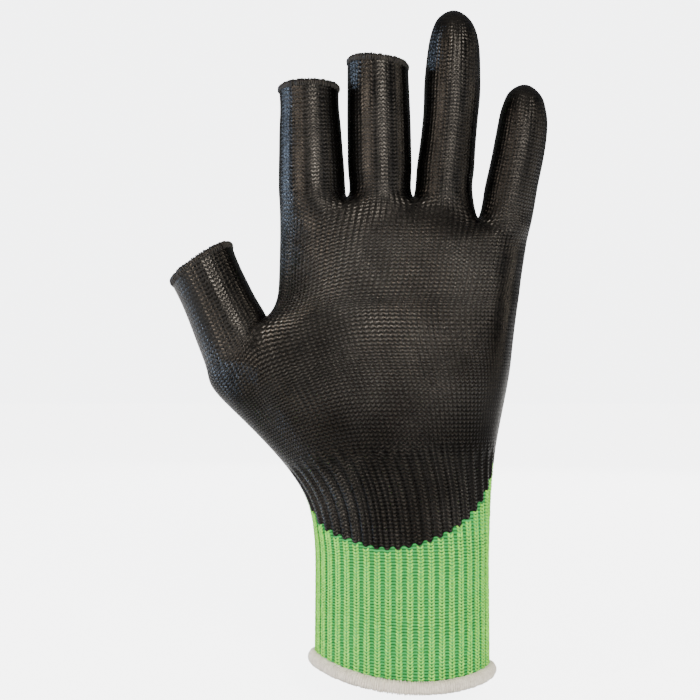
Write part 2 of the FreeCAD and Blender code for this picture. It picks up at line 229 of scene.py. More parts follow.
def handRow(count, left, right, leftY, square, spot):  # spot gives the x and z of a column, from the left
    points = []
    for column in range(count):
        x, z = spot(min(column, count - column))
        share = (x - left) / (right - left)
        front = column < count / 2
        depth = through(hand["front" if front else "back"], z)
        if front:  # the palm is sunk
            inPalm = float(ease(95, 125, z) * (1 - ease(158, 182, z)))
            depth += hand["hollow"] * math.exp(-((share - 0.46) / 0.17) ** 2) * inPalm
        middle = leftY * (1 - share) ** 2
        bulge = max(0, 1 - abs(2 * share - 1) ** square) ** (1 / square)
        points.append((x, middle + (depth - middle) * bulge, z))
    return points


def lowRow(left, leftZ, right, rightZ, leftY, square, spread):
    def spot(n):
        share = (1 - math.cos(math.radians(15 * n))) / 2 * (1 - spread) + hand["lowSpread"][n] * spread
        x = left + (right - left) * share
        return x, rightZ - (rightZ - leftZ) * (max(0, -10 - x) / (-10 - left)) ** 2
    return handRow(lowColumns, left, right, leftY, square, spot)


def highRow(left, leftZ, right, rightZ, leftY, square, below):
    rise = ((leftZ + rightZ) / 2 - 140) / 39

    def spot(n):
        x = below[n + 2][0] * (1 - rise) + hand["webRow"][n][0] * rise
        x = {0: left, 1: left + 3.2, highColumns / 2: right}.get(n, x)
        return x, leftZ + (rightZ - leftZ) * (x - left) / (right - left)
    return handRow(highColumns, left, right, leftY, square, spot)


class Cage:  # the coarse form, with stitch numbers and the coating's reach at every corner
    def __init__(self):
        self.points, self.reach, self.faces, self.stitches, self.regions = [], [], [], [], []

    def add(self, point, course, reach):
        self.points.append(np.array(point, float))
        self.reach.append((course, reach))
        return len(self.points) - 1

    def face(self, corners, columns, region, below=0, above=0):
        self.faces.append(corners)
        # beside the thumb's base, where the palm is widest, front and back have some more stitches
        self.stitches.append([column * hand["walesPerColumn"] + more * ((column >= 4) + (column >= 21))
                              for column, more in zip(columns, (below, below, above, above))])
        self.regions.append(region)

    def band(self, lower, upper, columns, region, below=0, above=0):  # the faces between two rings
        for n, column in enumerate(columns):
            m = (n + 1) % len(lower)
            self.face((lower[n], lower[m], upper[m], upper[n]), (column, column + 1, column + 1, column),
                      region, below, above)


def buildCage():
    cage = Cage()
    pitch = hand["courseHeight"]
    rows = [lowRow(*row) for row in hand["lowRows"]]
    for column, y, lift in hand["thumbSide"]:
        x, _, z = rows[-2][column]
        rows[-2][column] = (x, y, z + lift)
    base = stallRing(thumb, *thumb["rings"][0])
    rows[-1][:4], rows[-1][21:] = base[:4], base[5:]
    low = []
    for level, row in enumerate(rows):
        side = {5: 0.2, 4: -0.4}.get(level, 0.5 if level > 5 else -0.5)
        ids = []
        for column, point in enumerate(row):
            reach = {0: side, 12: side - (0.2 if level == 5 else 0), 13: -0.5, 23: -0.5}.get(
                column, 1 if column < 12 else -1)
            ids.append(cage.add(point, hand["lowRows"][level][3] / pitch, reach))
        low.append(ids)
    for level in range(8):
        cage.band(low[level], low[level + 1], range(lowColumns), "cuff" if level < 5 else "palm",
                  *hand["moreLow"][level:level + 2])
    courseTop = hand["lowRows"][-1][3] / pitch
    saddle = cage.add(base[4], courseTop, 0.5)

    # above the thumb's web, each column of stitches counts on by its own length
    previous = [saddle] + low[-1][3:22]
    more = hand["moreLow"][-1]
    rows = [highRow(*row, rows[-1]) for row in hand["highRows"]]
    rows.append([(x, -y, z) for x, y, z in hand["webRow"]] + hand["webRow"][9:0:-1])
    for row, nextMore in zip(rows, hand["moreHigh"]):
        ids = []
        for n, point in enumerate(row):
            length = np.linalg.norm(np.array(point) - cage.points[previous[n]])
            reach = {0: 0.5, 10: 0.5, 11: -0.5, 19: -0.5}.get(n, 1 if n < 10 else -1)
            ids.append(cage.add(point, cage.reach[previous[n]][0] + length / pitch, reach))
        cage.band(previous, ids, range(2, highColumns + 2), "palm", more, nextMore)
        previous, more = ids, nextMore
    web = previous
    middles = [web[0]]
    for k, (x, z) in enumerate(hand["crotches"]):
        course = cage.reach[web[2 * k + 3]][0] + (z - hand["webHeight"]) / pitch
        middles.append(cage.add((x, 0, z), course, 0.5))
    middles.append(web[10])

    # the finger stalls, then the thumb's, which stands on the hand's last row
    for k, (name, spec) in enumerate(stalls.items(), 1):
        ring = [middles[k - 1], *web[2 * k - 1:2 * k + 2], middles[k], *web[19 - 2 * k:22 - 2 * k]]
        columns = [2 * k + n for n in range(4)] + [20 - 2 * k + n for n in range(4)]
        first = cage.reach[web[2 * k]][0] + hand["rootHeight"] / pitch
        rings = [(first + values[0] / pitch, roundRing(spec, *values)) for values in spec["rings"]]
        folds = zip(foldNames, spec["folds"], spec["folds"][1:])
        regions = ["palm"] + [name + fold for fold, a, b in folds for _ in range(a, b)]
        ring = climb(cage, ring, rings, columns, regions, "tip" in spec)
        if "tip" in spec:
            root, side, _, up = stallAxes(spec)
            height, sideways = spec["tip"]
            peak = cage.add(root + up * height + side * sideways, first + (height + 3) / pitch, 1.5)
            for n in (0, 2, 4, 6):
                left, middle, right = (columns[n] + k for k in range(3))
                cage.face((ring[n], ring[n + 1], ring[(n + 2) % 8], peak),
                          (left, middle, right, middle), regions[-1])
    ring = [*low[-1][:4], saddle, *low[-1][21:]]
    foot, *above = thumb["rings"]
    rings = [(courseTop + (values[0] - foot[0]) / pitch, stallRing(thumb, *values)) for values in above]
    climb(cage, ring, rings, [0, 1, 2, 3, 20, 21, 22, 23], ["thumb"] * 5, False)
    return cage


def climb(cage, ring, rings, columns, regions, closed):  # the coating wraps round a closed tip
    reaches = [0.5, 1, 1, 1, 0.5, -0.5, -1, -0.5]
    for level, ((course, points), region) in enumerate(zip(rings, regions)):
        left = len(rings) - 1 - level
        lift = (1.9, 1.7, 1.4, 0.7)[left] if closed and left < 4 else 0
        ids = [cage.add(p, course, reaches[n] + (lift if n > 4 else 0)) for n, p in enumerate(points)]
        cage.band(ring, ids, columns, region)
        ring = ids
    return ring


def fineForm(cage, level=3):  # subdivides the cage so that its surface passes through its corners
    mesh = addMesh("cage", cage.points, cage.faces)
    knit = mesh.uv_layers.new(name="knit")
    cover = mesh.uv_layers.new(name="cover")
    names = sorted(set(cage.regions))
    for polygon in mesh.polygons:
        polygon.material_index = names.index(cage.regions[polygon.index])
        for n, loop in enumerate(polygon.loop_indices):
            course, reach = cage.reach[mesh.loops[loop].vertex_index]
            knit.data[loop].uv = (cage.stitches[polygon.index][n], course)
            cover.data[loop].uv = (reach, 0)
    piece = addObject("cage", mesh)
    smooth = piece.modifiers.new("smooth", "SUBSURF")
    smooth.use_limit_surface = True
    smooth.uv_smooth = "PRESERVE_BOUNDARIES"
    smooth.levels = smooth.render_levels = 1
    target = np.array(cage.points)
    control = target.copy()
    for _ in range(8):
        trial = bake(piece)
        reached = np.array([v.co for v in trial.vertices[:len(target)]]) / mm
        control += target - reached
        mesh.vertices.foreach_set("co", (control * mm).ravel())
        mesh.update()
        bpy.data.meshes.remove(trial)
    print("cage fitted, largest miss", round(float(np.abs(target - reached).max()), 3), "mm")
    smooth.levels = smooth.render_levels = level
    fine = bake(piece)
    bpy.data.objects.remove(piece)
    knit, cover = fine.uv_layers["knit"].data, fine.uv_layers["cover"].data
    reach = np.zeros(len(fine.vertices))
    for loop in fine.loops:
        reach[loop.vertex_index] = cover[loop.index].uv[0]
    return {"points": np.array([v.co for v in fine.vertices]) / mm,
            "normals": np.array([v.normal for v in fine.vertices]), "reach": reach,
            "faces": [tuple(p.vertices) for p in fine.polygons],
            "stitches": [[tuple(knit[n].uv) for n in p.loop_indices] for p in fine.polygons],
            "regions": [names[p.material_index] for p in fine.polygons]}


form = fineForm(buildCage())
print("hand formed,", len(form["faces"]), "faces")


# patches of that form, and the shells made from them

def patch(wanted):
    chosen = [n for n, region in enumerate(form["regions"]) if region == wanted]
    used = sorted({v for n in chosen for v in form["faces"][n]})
    place = {v: n for n, v in enumerate(used)}
    return {"points": form["points"][used], "normals": form["normals"][used], "reach": form["reach"][used],
            "faces": [tuple(place[v] for v in form["faces"][n]) for n in chosen],
            "stitches": [form["stitches"][n] for n in chosen]}


def clip(part, field):  # keeps a patch where the field is above zero, cut along a smooth line
    field = np.where(np.abs(field) < 0.03, 0.0, field)
    points, normals = list(part["points"]), list(part["normals"])
    faces, stitches, cuts = [], [], {}
    for face, spots in zip(part["faces"], part["stitches"]):
        values = [field[v] for v in face]
        if max(values) <= 0:
            continue
        corners, cornerSpots = [], []
        for n, v in enumerate(face):
            m = (n + 1) % len(face)
            w = face[m]
            if values[n] >= 0:
                corners.append(v)
                cornerSpots.append(spots[n])
            if values[n] * values[m] < 0:
                t = values[n] / (values[n] - values[m])
                key = (min(v, w), max(v, w))
                if key not in cuts:
                    cuts[key] = len(points)
                    points.append(points[v] * (1 - t) + points[w] * t)
                    normals.append(normals[v] * (1 - t) + normals[w] * t)
                corners.append(cuts[key])
                cornerSpots.append(tuple(a * (1 - t) + b * t for a, b in zip(spots[n], spots[m])))
        faces.append(tuple(corners))
        stitches.append(cornerSpots)
    return {"points": np.array(points), "normals": unit(np.array(normals)), "faces": faces,
            "stitches": stitches}


def shell(name, part, outside, inside, material, slopes=None):  # a closed wall on both sides of a patch
    used = sorted({v for face in part["faces"] for v in face})
    place = {v: n for n, v in enumerate(used)}
    count = len(used)
    points, normals = part["points"][used], part["normals"][used]
    outside, inside = (np.broadcast_to(offset, len(part["points"]))[used][:, None]
                       for offset in (outside, inside))
    corners = np.concatenate([points + normals * outside, points - normals * inside])
    outer = [tuple(place[v] for v in face) for face in part["faces"]]
    faces = outer + [tuple(v + count for v in face[::-1]) for face in outer]
    spots = part["stitches"] + [ring[::-1] for ring in part["stitches"]]
    # walls are measured along the plain surface, shading follows what stands on it
    slopes = normals if slopes is None else slopes[used]
    loopNormals = [slopes[v] for face in outer for v in face]
    loopNormals += [-normals[v] for face in outer for v in face[::-1]]
    edges = {(face[n], face[(n + 1) % len(face)]): (ring[n], ring[(n + 1) % len(face)])
             for face, ring in zip(outer, part["stitches"]) for n in range(len(face))}
    for (a, b), (spotA, spotB) in edges.items():
        if (b, a) not in edges:
            faces.append((b, a, a + count, b + count))
            spots.append([spotB, spotA, spotA, spotB])
            facing = np.cross(corners[a] - corners[b], corners[a + count] - corners[a])
            loopNormals += [unit(facing)] * 4
    mesh = addMesh(name, corners, faces)
    knit = mesh.uv_layers.new(name="knit")
    knit.data.foreach_set("uv", np.array([spot for ring in spots for spot in ring], float).ravel())
    mesh.normals_split_custom_set(np.array(loopNormals))
    return addObject(name, mesh, material)


def tube(name, path, out, up, halfWidth, halfHeight, material, sides=10):  # a closed roll along a loop
    count = len(path)
    angles = np.arange(sides) * 2 * math.pi / sides
    corners = (path[:, None] + out[:, None] * (halfWidth * np.cos(angles))[None, :, None]
               + up[:, None] * (halfHeight * np.sin(angles))[None, :, None]).reshape(-1, 3)
    links = [(n * sides, (n + 1) % count * sides, k, (k + 1) % sides)
             for n in range(count) for k in range(sides)]
    faces = [(n + k, m + k, m + j, n + j) for n, m, k, j in links]
    mesh = addMesh(name, corners, faces)
    volume = sum(np.dot(corners[a], np.cross(corners[b], corners[c])) for a, b, c, _ in faces)
    if volume < 0:
        mesh.flip_normals()
    mesh.shade_smooth()
    return addObject(name, mesh, material)


# materials

def openMaterial(name):
    material = bpy.data.materials.new(name)
    material.use_nodes = True
    material.node_tree.nodes.clear()
    return material, material.node_tree


def closeMaterial(material, base, layers, roughness, reliefs=(), **settings):
    # layers are (share, colour) laid over the base, reliefs are (height, its depth, strength)
    tree = material.node_tree
    settings = {name.replace("_", " "): value for name, value in settings.items()}
    colour = linear(base)
    for share, tint in layers:
        colour = addNode(tree, "ShaderNodeMix", {0: share, 6: colour, 7: linear(tint)},
                         data_type="RGBA").outputs[2]
    below = {}
    for height, depth, strength in reliefs:
        values = {"Height": height, "Distance": depth * mm, "Strength": strength, **below}
        below = {"Normal": addNode(tree, "ShaderNodeBump", values)}
    values = {"Base Color": colour, "Roughness": roughness, **below, **settings}
    shader = addNode(tree, "ShaderNodeBsdfPrincipled", values)
    addNode(tree, "ShaderNodeOutputMaterial", [shader])
    return material


def addSteps(tree, made, steps):  # each step: its name, its operation, then numbers or names of what is made
    for label, operation, *values in steps:
        values = [made.get(value, value) for value in values]
        if operation == "RANGE":  # from, to, and the result at either end
            made[label] = addNode(tree, "ShaderNodeMapRange", values)
        else:
            made[label] = addNode(tree, "ShaderNodeMath", values, operation=operation)
    return made


def stitchNumbers(tree):
    spot = addNode(tree, "ShaderNodeUVMap", uv_map="knit")
    parts = addNode(tree, "ShaderNodeSeparateXYZ", [spot])
    return {"around": parts.outputs[0], "up": parts.outputs[1]}


def loopPattern(tree, slant, twoLegs):  # how high the yarn stands along and across its loops
    return addSteps(tree, stitchNumbers(tree), [
        ("wale", "FRACT", "around"),
        ("shifted", "MULTIPLY_ADD", "wale", 2, -1),
        ("mirrored", "ABSOLUTE", "shifted"),
        ("leaned", "MULTIPLY_ADD", "mirrored", -slant, "up"),
        ("course", "FRACT", "leaned"),
        ("along", "MULTIPLY", "course", math.pi),
        ("ridge", "SINE", "along"),
        ("across", "MULTIPLY", "mirrored" if twoLegs else "wale", math.pi),
        ("loop", "SINE", "across"),
    ])


def noise(tree, size, detail=3.0):  # size is the width of one blotch in millimetres
    place = addNode(tree, "ShaderNodeTexCoord")
    return addNode(tree, "ShaderNodeTexNoise", {
        "Vector": place.outputs["Object"], "Scale": 1000 / size, "Detail": detail, "Roughness": 0.6})


def jerseyKnit():
    # Plain knit of cut resistant yarn: two leaning legs in every loop, a matte green painted darker in the
    # gaps between the loops as painted shade.
    settings = {"yarn": "#76cf4f", "gapShade": "#1d7a3c", "loopDepth": 0.32, "flecks": 1.1}
    material, tree = openMaterial("cutResistantJersey")
    made = addSteps(tree, {**loopPattern(tree, 0.6, True), "fleck": noise(tree, settings["flecks"])}, [
        ("height", "MULTIPLY", "ridge", "loop"),
        ("rounded", "POWER", "height", 0.6),
        ("mixed", "MULTIPLY_ADD", "fleck", 0.5, "rounded"),
        ("level", "RANGE", "mixed", 0.25, 1.05),
    ])
    # the colour runs from the painted shade in the gaps up to the yarn's own green on the loop tops
    return closeMaterial(material, settings["gapShade"], [(made["level"], settings["yarn"])], 0.88,
                         [(made["rounded"], settings["loopDepth"], 1.0)],
                         Sheen_Weight=0.25, Sheen_Roughness=0.5)


def ribKnit():
    # The rib cuff's ground: the furrows are painted a darker green than the crest stitches as painted shade,
    # crossed by a lighter bar at each course, with the darkest painted shade between the bars.
    settings = {"yarn": "#41c068", "furrowShade": "#0a5c29", "barDepth": 0.3, "barPitch": 1.28}
    material, tree = openMaterial("ribCuffGround")
    made = addSteps(tree, {**stitchNumbers(tree), "fleck": noise(tree, 1.3)}, [
        ("angle", "MULTIPLY", "up", math.pi * hand["courseHeight"] / settings["barPitch"]),
        ("wave", "SINE", "angle"),
        ("bar", "ABSOLUTE", "wave"),
        ("mixed", "MULTIPLY_ADD", "fleck", 0.7, "bar"),
        ("level", "RANGE", "mixed", 0.5, 1.45),
    ])
    # the colour runs from painted shade between the bars up to the lighter green of the bars
    return closeMaterial(material, settings["furrowShade"], [(made["level"], settings["yarn"])], 0.9,
                         [(made["bar"], settings["barDepth"], 1.0)])


def plainYarn(name, light, dark, size, sheen=0.25, roughness=0.88, foot=None):
    # Spun thread: matte, fuzzy and a little uneven in tone.
    material, tree = openMaterial(name)
    layers = [(addNode(tree, "ShaderNodeMapRange", [noise(tree, size), 0.3, 0.7]), light)]
    if foot:  # the downward-facing side is painted grey-brown as painted shade
        facing = addNode(tree, "ShaderNodeNewGeometry")
        parts = addNode(tree, "ShaderNodeSeparateXYZ", [facing.outputs["Normal"]])
        layers.append((addNode(tree, "ShaderNodeMapRange", [parts.outputs[2], -0.9, -0.35, 0.8, 0.0]), foot))
    fibre = noise(tree, size * 0.35, 2.0)
    return closeMaterial(material, dark, layers, roughness, [(fibre, 0.12, 0.8)], Sheen_Weight=sheen)


def dippedCoat(name, ribbed=False):
    # Dipped polyurethane: a thin dark skin with a soft shine that follows every course of the knit below.
    # the lighter tone on the loop tops is partly rubbed wear and partly painted highlight
    settings = {"skin": "#020202", "wearAndHighlight": "#15120d", "ridgeDepth": 0.42, "grainDepth": 0.06, "slant": 0.35}
    material, tree = openMaterial(name)
    spot = addNode(tree, "ShaderNodeTexCoord")
    where = addNode(tree, "ShaderNodeSeparateXYZ", [spot.outputs["Object"]])
    made = {**loopPattern(tree, settings["slant"], False), "x": where.outputs[0], "z": where.outputs[2],
            "patchy": noise(tree, 10.0, 2.0), "rubbed": noise(tree, 2.5), "uneven": noise(tree, 1.1, 2.0),
            "broad": noise(tree, 26.0, 1.0)}
    steps = [  # towards the little finger the loops show as beads, towards the thumb the courses as lines
        ("beading", "RANGE", "x", -0.06, 0.02, 0.3, 0.9),
        ("plain", "SUBTRACT", 1, "beading"),
        ("dash", "POWER", "loop", 1.5),
        ("bead", "MULTIPLY_ADD", "dash", "beading", "plain"),
        ("rounded", "POWER", "ridge", 1.5),
        ("beaded", "MULTIPLY", "rounded", "bead"),
    ]
    steps += [  # the stitches stand out on the crests and sink in the furrows, most of all below the palm
        ("turn", "MULTIPLY_ADD", "around", math.pi / 2, -math.pi / 4),
        ("wave", "SINE", "turn"),
        ("crest", "POWER", "wave", 2),
        ("sink", "RANGE", "z", 0.076, 0.092, 0.4, 0.85),
        ("rise", "RANGE", "z", 0.076, 0.092, 1.5, 1.05),
        ("raised", "RANGE", "crest", 0, 1, "sink", "rise"),
        ("beaded", "MULTIPLY", "beaded", "raised"),
    ] if ribbed else []
    steps += [
        # the skin fills the loops along the palm's outer side
        ("outward", "MULTIPLY_ADD", "z", -0.128, "x"),
        ("outerSide", "RANGE", "outward", 0.011, 0.016, 0, 0.85),
        ("aboveHeel", "RANGE", "z", 0.084, 0.096, 0, 1),
        ("belowFinger", "RANGE", "z", 0.16, 0.176, 1, 0),
        ("between", "MULTIPLY", "aboveHeel", "belowFinger"),
        ("flat", "MULTIPLY", "outerSide", "between"),
        ("beaded", "RANGE", "flat", 0, 1, "beaded", 0.03),
        # it is thicker and smoother on the fingers and the thumb
        ("filled", "RANGE", "patchy", 0.35, 0.65, 1, 0.6),
        ("fingers", "RANGE", "z", 0.16, 0.188, 1, 0.4),
        ("upThumb", "MULTIPLY_ADD", "x", -0.46, "z"),
        ("upperThumb", "RANGE", "upThumb", 0.147, 0.162, 1, 0.4),
        ("outerThumb", "RANGE", "x", -0.056, -0.046, 0.4, 1),
        ("thumb", "MAXIMUM", "upperThumb", "outerThumb"),
        ("thick", "MINIMUM", "fingers", "thumb"),
        ("shallow", "MULTIPLY", "filled", "thick"),
        ("height", "MULTIPLY", "beaded", "shallow"),
        # the skin is painted lighter on the loop tops and the rib crests: partly rubbed wear, partly painted
        # highlight
        ("wearAndHighlightMask", "MULTIPLY", "height", "rubbed"),
        ("level", "RANGE", "wearAndHighlightMask", 0.2, 0.55),
        ("rough", "RANGE", "uneven", 0.35, 0.65, 0.12, 0.28),
        ("dull", "MULTIPLY_ADD", "thick", 0.09, "rough"),
        # it soaks in and turns dull below the heel of the hand, most of all where the ribs begin
        ("upHeel", "MULTIPLY_ADD", "x", 0.13, "z"),
        ("heel", "RANGE", "upHeel", 0.096, 0.116, 0.19, 0.6),
        ("tongue", "RANGE", "z", 0.07, 0.09, 0.4, 0.19),
        ("shine", "MAXIMUM", "heel", "tongue"),
        # the loops shine and the gaps don't, in handled and bare places that are a few fingers wide
        ("dimmest", "RANGE", "thick", 0.4, 1, 0.72, 0.45),
        ("brightest", "RANGE", "thick", 0.4, 1, 1.2, 1.85),
        ("exposed", "RANGE", "beaded", 0, 1, "dimmest", "brightest"),
        ("handled", "RANGE", "broad", 0.35, 0.65, 0.7, 1.5),
        ("wearAndHighlight", "RANGE", "thick", 0, 1, 0.95, "handled"),
        ("glossy", "MULTIPLY", "exposed", "wearAndHighlight"),
        ("gloss", "MULTIPLY", "shine", "glossy"),
    ]
    addSteps(tree, made, steps)
    reliefs = [(noise(tree, 0.7, 2.0), settings["grainDepth"], 0.8),
               (made["height"], settings["ridgeDepth"], 1.0)]
    return closeMaterial(material, settings["skin"], [(made["level"], settings["wearAndHighlight"])], made["dull"],
                         reliefs, IOR=1.33, Specular_IOR_Level=made["gloss"])


jersey = jerseyKnit()
ribGround = ribKnit()
ribYarn = plainYarn("limeRibYarn", "#a2f263", "#70d048", 1.2, sheen=0.0)
coating = dippedCoat("dippedPolyurethane")
ribCoating = dippedCoat("dippedPolyurethaneOnRibs", True)
# the white thread carries painted shade on its downward-facing side
hemThread = plainYarn("whiteOverlockThread", "#f2f0ea", "#d4d1c9", 1.6, sheen=0.2, roughness=0.8,
                      foot="#85796c")
tipThread = plainYarn("blackOverlockThread", "#0d0d0d", "#040404", 1.0, sheen=0.0, roughness=0.5)
elastic = plainYarn("coveredElastic", "#c9c8bf", "#b5b3a8", 1.5)
print("materials made")


# things that repeat round a loop or up the ribs

def openTree(name, sizes):  # a tree that takes points and those sizes
    tree = bpy.data.node_groups.new(name, "GeometryNodeTree")
    tree.interface.new_socket("Geometry", in_out="OUTPUT", socket_type="NodeSocketGeometry")
    tree.interface.new_socket("Geometry", in_out="INPUT", socket_type="NodeSocketGeometry")
    for label in sizes:
        tree.interface.new_socket(label, in_out="INPUT", socket_type="NodeSocketFloat")
    return tree, addNode(tree, "NodeGroupInput")


def placeOnPoints(tree, source, single, turn, vary, seed):  # one on each point, set by its own up and out
    out, up = [addNode(tree, "GeometryNodeInputNamedAttribute", [label], data_type="FLOAT_VECTOR")
               for label in ("out", "up")]
    facing = addNode(tree, "FunctionNodeAxesToRotation", [out, up], primary_axis="Z", secondary_axis="Y")
    wobble = addNode(tree, "FunctionNodeRandomValue", {"Min": [-turn] * 3, "Max": [turn] * 3, "Seed": seed},
                     data_type="FLOAT_VECTOR")
    turned = addNode(tree, "FunctionNodeRotateRotation", [facing, wobble], rotation_space="LOCAL")
    grow = addNode(tree, "FunctionNodeRandomValue", {2: 1 - vary, 3: 1 + vary, "Seed": seed + 1},
                   data_type="FLOAT")
    placed = addNode(tree, "GeometryNodeInstanceOnPoints", {
        "Points": source, "Instance": single, "Rotation": turned, "Scale": grow.outputs[1]})
    real = addNode(tree, "GeometryNodeRealizeInstances", [placed])
    smooth = addNode(tree, "GeometryNodeSetShadeSmooth", [real])
    addNode(tree, "NodeGroupOutput", [smooth])


def stitchTree():  # a V of two yarn legs on each point
    tree, source = openTree("rib stitches", ("Leg Length", "Leg Width", "Leg Height", "Leg Angle", "Gauge"))
    given = source.outputs
    sphere = addNode(tree, "GeometryNodeMeshUVSphere", {"Segments": 6, "Rings": 4, "Radius": 0.5})
    sides = ("Leg Width", "Leg Length", "Leg Height")
    size = addNode(tree, "ShaderNodeCombineXYZ", [given[side] for side in sides])
    legs = addNode(tree, "GeometryNodeJoinGeometry")
    for side in (-1, 1):
        lean = addNode(tree, "ShaderNodeMath", [given["Leg Angle"], -side], operation="MULTIPLY")
        shift = addNode(tree, "ShaderNodeMath", [given["Gauge"], side * 0.5], operation="MULTIPLY")
        rotation = addNode(tree, "ShaderNodeCombineXYZ", {2: lean})
        offset = addNode(tree, "ShaderNodeCombineXYZ", [shift])
        leg = addNode(tree, "GeometryNodeTransform", {
            "Geometry": sphere, "Translation": offset, "Rotation": rotation, "Scale": size})
        tree.links.new(leg.outputs[0], legs.inputs[0])
    placeOnPoints(tree, source, legs, 0.07, 0.07, 4)
    return tree


def threadTree(unevenness):  # one turn of thread round the roll on each point
    tree, source = openTree("overlock threads", ("Half Width", "Half Height", "Thread", "Slant"))
    given = source.outputs
    ring = addNode(tree, "GeometryNodeCurvePrimitiveCircle", {"Resolution": 14, "Radius": 1.0})
    size = addNode(tree, "ShaderNodeCombineXYZ", [given["Half Height"], given["Half Width"], 1.0])
    shaped = addNode(tree, "GeometryNodeTransform", {"Geometry": ring, "Scale": size})
    # the ring is drawn flat, then stood up so that it goes round the roll
    slanted = addNode(tree, "ShaderNodeCombineXYZ", [math.pi / 2, given["Slant"], math.pi / 2])
    stood = addNode(tree, "GeometryNodeTransform", {"Geometry": shaped, "Rotation": slanted})
    profile = addNode(tree, "GeometryNodeCurvePrimitiveCircle", {"Resolution": 5, "Radius": given["Thread"]})
    thread = addNode(tree, "GeometryNodeCurveToMesh", {"Curve": stood, "Profile Curve": profile})
    placeOnPoints(tree, source, thread, unevenness, unevenness, 9)
    return tree


def scatter(name, tree, spots, out, up, sizes, material):
    mesh = addMesh(name, spots, [])
    for label, vectors in (("out", out), ("up", up)):
        attribute = mesh.attributes.new(label, "FLOAT_VECTOR", "POINT")
        attribute.data.foreach_set("vector", np.array(vectors, float).ravel())
    piece = addObject(name, mesh)
    modifier = piece.modifiers.new("repeat", "NODES")
    modifier.node_group = tree
    sockets = {item.name: item.identifier for item in tree.interface.items_tree
               if item.item_type == "SOCKET" and item.in_out == "INPUT"}
    for label, value in sizes.items():
        modifier[sockets[label]] = value
    made = bake(piece)
    bpy.data.objects.remove(piece)
    for label in ("out", "up"):
        made.attributes.remove(made.attributes[label])
    made.name = name
    return addObject(name, made, material)


stitches = stitchTree()
neatThreads, roughThreads = threadTree(0.05), threadTree(0.16)


# the rib cuff

wales = lowColumns * hand["walesPerColumn"]  # columns of stitches round the hand

cuff = {
    "ribs": 44,
    "samplesPerRib": 10,
    "lean": 1.15,  # in ribs
    "wall": 2.0,
    "crest": 0.1,  # how far the ribs stand out, and how deep the furrows are
    "furrow": 0.85,
    "fade": (84, 92.5),
    "stitchPitch": 1.17,
    "mouth": (6.6, 13.4, 8.8, 9),  # the hem's height at the front, left, right and back
    # the coating's lower edge as (stitch number round the hand, height)
    "tongue": [(-4, 95), (-2.3, 86), (0, 75.5), (4, 68.5), (8.8, 63.6), (15, 60.4), (21.3, 58.3),
               (30.6, 55.7), (38.7, 57), (45.7, 60), (54.5, 66.2), (62.7, 74.3), (68, 81.5),
               (70.5, 86.5), (72.4, 93), (75, 99)],
    "tooth": 1.1,
}


def cuffTable():  # the cuff's surface as columns round it and rows up it
    part = patch("cuff")
    course, number = {}, {}
    for face, spots in zip(part["faces"], part["stitches"]):
        course.update(zip(face, (up for _, up in spots)))
        number.update(zip(face, (round(around, 2) % wales for around, _ in spots)))
    columns = sum(up < 0.01 for up in course.values())
    rows = np.reshape(sorted(course, key=course.get), (-1, columns))
    table = np.array([sorted(row, key=number.get) for row in rows]).T
    levels = np.array([course[v] for v in table[len(table) // 3]]) * hand["courseHeight"]
    keys = np.linspace(0, wales, len(table) + 1)
    return keys, levels, part["points"][table], part["normals"][table]


cuffKeys, cuffLevels, cuffPoints, cuffNormals = cuffTable()


def onCuff(around, level):  # points and normals of the cuff at those stitch numbers and levels
    around, level = np.broadcast_arrays(np.asarray(around, float) % wales, np.asarray(level, float))
    left, across = between(cuffKeys, around)
    low, rise = between(cuffLevels, level)
    right = (left + 1) % len(cuffPoints)
    across, rise = across[..., None], rise[..., None]
    found = []
    for values in (cuffPoints, cuffNormals):
        lower = values[left, low] * (1 - across) + values[right, low] * across
        upper = values[left, low + 1] * (1 - across) + values[right, low + 1] * across
        found.append(lower * (1 - rise) + upper * rise)
    turn = np.radians(around * 360 / wales)
    atFront, atLeft, atRight, atBack = cuff["mouth"]
    middle, swing = (atLeft + atRight) / 2, (atLeft - atRight) / 2
    low = np.where(np.sin(turn) > 0, atFront, atBack)
    mouth = middle + swing * np.cos(turn) + (low - middle) * np.sin(turn) ** 2
    found[0][..., 2] += mouth * np.clip(1 - level / 60, 0, 1)
    return found[0], unit(found[1])


# the share of the way round the cuff at each of its columns
shares = lengthsRound(cuffPoints[:, len(cuffLevels) // 2])
shares /= shares[-1]


def ribLean(level):  # the ribs lean towards the thumb above the wrist
    return cuff["lean"] * np.clip((np.asarray(level) - 50) / 42, 0, 1) ** 1.4


def ribNumber(around, level):  # whole numbers lie in the furrows between the ribs
    share = np.interp(around % wales, cuffKeys, shares)
    return cuff["ribs"] * (share + np.floor(around / wales)) + ribLean(level)


def crestAt(rib, level):
    share = (rib + 0.5 - ribLean(level)) / cuff["ribs"] % 1
    return np.interp(share, shares, cuffKeys)


def fromFurrow(around, level):  # in widths of a rib, 0 in the furrow and 0.5 on the crest
    phase = ribNumber(around, level) % 1
    return np.minimum(phase, 1 - phase)


def ribHeight(around, level):
    furrow = 1 - ease(0.1, 0.34, fromFurrow(around, level))
    fade = 1 - ease(*cuff["fade"], level)
    return (cuff["crest"] - (cuff["crest"] + cuff["furrow"]) * furrow) * fade


def ribStitch(around, level):  # two columns of stitches to a rib, one on its crest and one in the furrow
    return 2 * ribNumber(around, level) + 0.5


